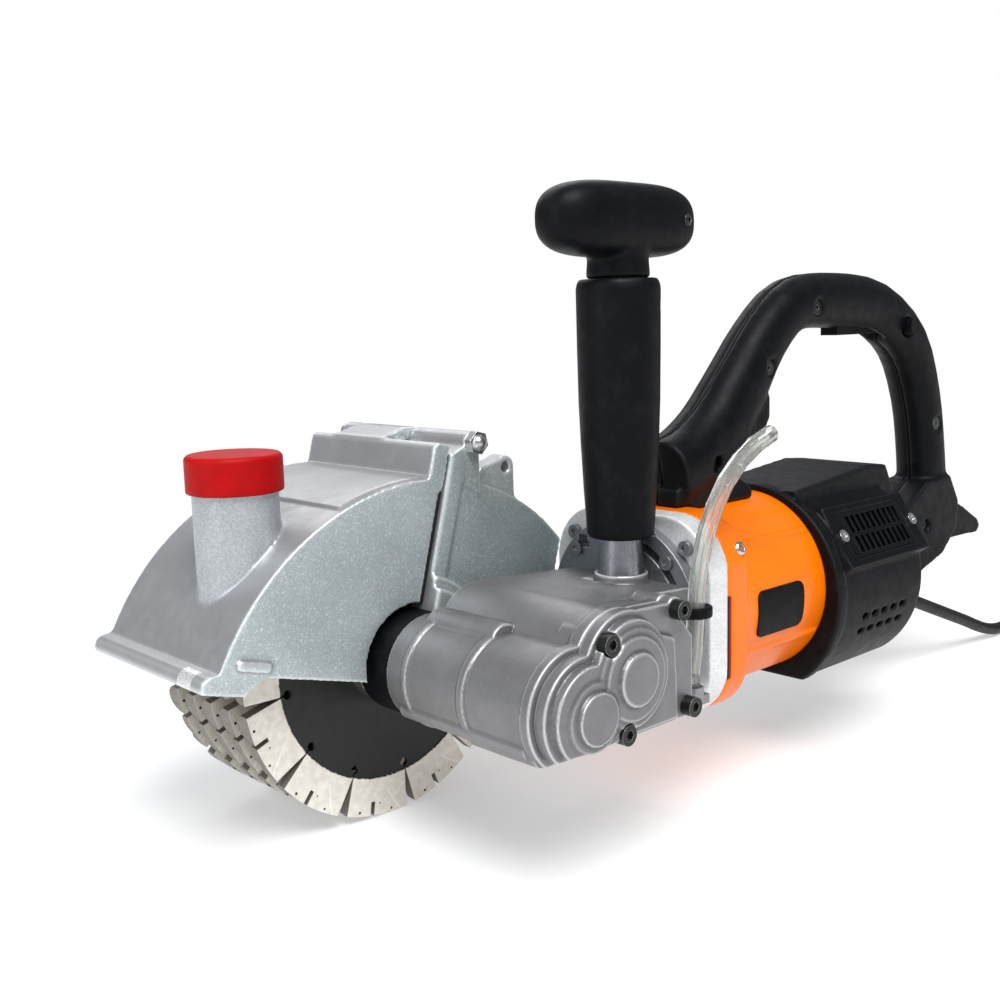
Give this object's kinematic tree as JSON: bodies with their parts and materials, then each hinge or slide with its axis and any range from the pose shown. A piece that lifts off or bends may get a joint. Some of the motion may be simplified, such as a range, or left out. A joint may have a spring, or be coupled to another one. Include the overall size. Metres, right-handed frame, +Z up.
{
  "type": "wall chaser",
  "caption": "Hand-held wall chaser: a stack of diamond blades under a hinged two-part guard with a dust spout, driven by a gearbox and in-line motor, with a front T-handle and rear loop handle.",
  "frame": {"origin": "middle of the machine's base on the surface the blades stand on, leaving out the mains cord, coil and plug", "axes": "+X along the motor towards the rear handle, +Y along the spindle towards the outer blade, +Z up"},
  "size_m": [0.7084, 0.275, 0.28],
  "materials": {
    "cast_aluminium": "sparkling silver cast finish",
    "gearbox_aluminium": "satin die-cast aluminium",
    "ring_aluminium": "pale satin cast ring",
    "plate_aluminium": "grey cast aluminium plate",
    "bright_steel": "ground steel",
    "gear_steel": "hardened gear steel, oiled",
    "bearing_steel": "polished bearing steel",
    "zinc_screw": "zinc-plated screws",
    "black_screw": "black oxide screws",
    "blade_steel": "steel core painted black in the middle, sintered segments",
    "orange_paint": "glossy orange enamel",
    "label_black": "blank glossy plate",
    "black_nylon": "fine-textured glass-filled nylon",
    "black_rubber": "satin rubber",
    "red_cap": "satin red plastic",
    "clear_hose": "clear flexible PVC",
    "copper": "enamelled copper",
    "laminations": "stacked electrical steel",
    "carbon": "pressed carbon"
  },
  "bodies": {
    "body": {"gearbox_housing": "gearbox_aluminium", "gear_cover": "gearbox_aluminium", "cover_bolts": "black_screw", "neck_collar": "black_nylon", "flange_plate": "plate_aluminium", "flange_screws": "zinc_screw", "adaptor_ring": "ring_aluminium", "motor_housing": "orange_paint", "housing_screws": "zinc_screw", "label_plate": "label_black", "rear_housing": "black_nylon", "vent_grilles": "black_nylon", "grille_screws": "zinc_screw", "stator_core": "laminations", "stator_windings": "copper", "brush_holders": "black_nylon", "carbon_brushes": "carbon", "handle_left": "black_nylon", "handle_right": "black_nylon", "handle_screws": "black_screw", "switch_block": "black_nylon", "front_handle_stem": "ring_aluminium", "front_grip": "black_nylon", "front_knob": "black_nylon", "spindle_bearings": "bearing_steel", "gear_shaft_bearings": "bearing_steel", "rotor_bearings": "bearing_steel", "water_hose": "clear_hose", "hose_clip": "black_nylon", "hose_fitting": "gear_steel", "strain_relief": "black_rubber", "power_cord": "black_rubber", "cord_coil": "black_rubber", "mains_plug": "black_rubber"},
    "spindle": {"spindle_shaft": "bright_steel", "blade_1": "blade_steel", "blade_2": "blade_steel", "blade_3": "blade_steel", "blade_4": "blade_steel", "blade_5": "blade_steel", "blade_spacers": "bright_steel", "inner_flange": "bright_steel", "outer_flange": "bright_steel", "arbor_nut": "gear_steel", "spindle_gear": "gear_steel"},
    "gear_shaft": {"gear_shaft": "bright_steel", "shaft_pinion": "gear_steel", "bevel_gear": "gear_steel"},
    "rotor": {"rotor_shaft": "bright_steel", "bevel_pinion": "gear_steel", "rotor_core": "laminations", "commutator": "copper", "cooling_fan": "black_nylon"},
    "guard": {"rear_guard": "cast_aluminium", "hinge_pin": "bright_steel"},
    "guard_cover": {"front_guard": "cast_aluminium"},
    "spout_cap": {"dust_cap": "red_cap"},
    "switch_trigger": {"trigger": "black_nylon"},
    "trigger_lock": {"lock_button": "black_nylon"}
  },
  "joints": [
    {"name": "spindle_spin", "type": "hinge", "parent": "body", "child": "spindle", "pos_m": [-0.163, 0.029, 0.075], "axis": [0, 1, 0], "continuous": true},
    {"name": "gear_shaft_spin", "type": "hinge", "parent": "body", "child": "gear_shaft", "pos_m": [-0.14048, -0.035, 0.088], "axis": [0, 1, 0], "continuous": true},
    {"name": "rotor_spin", "type": "hinge", "parent": "body", "child": "rotor", "pos_m": [-0.063, -0.035, 0.088], "axis": [1, 0, 0], "continuous": true},
    {"name": "guard_swing", "type": "hinge", "parent": "body", "child": "guard", "pos_m": [-0.163, 0.009, 0.075], "axis": [0, 1, 0], "range_deg": [-40, 0]},
    {"name": "cover_hinge", "type": "hinge", "parent": "guard", "child": "guard_cover", "pos_m": [-0.12549, 0.069, 0.169], "axis": [0, 1, 0], "range_deg": [0, 110]},
    {"name": "cap_slide", "type": "slide", "parent": "guard_cover", "child": "spout_cap", "axis": [0, 0, 1], "range_m": [0, 0.1]},
    {"name": "trigger_press", "type": "slide", "parent": "body", "child": "switch_trigger", "axis": [0, 0, 1], "range_m": [0, 0.005], "stiffness_N_per_m": 900, "springref_m": -0.004},
    {"name": "lock_press", "type": "slide", "parent": "body", "child": "trigger_lock", "axis": [0, 1, 0], "range_m": [0, 0.003], "stiffness_N_per_m": 700, "springref_m": -0.003}
  ],
  "couplings": [
    {"joint": "gear_shaft_spin", "follows": "spindle_spin", "ratio": -1.6},
    {"joint": "rotor_spin", "follows": "spindle_spin", "ratio": -4.8}
  ]
}
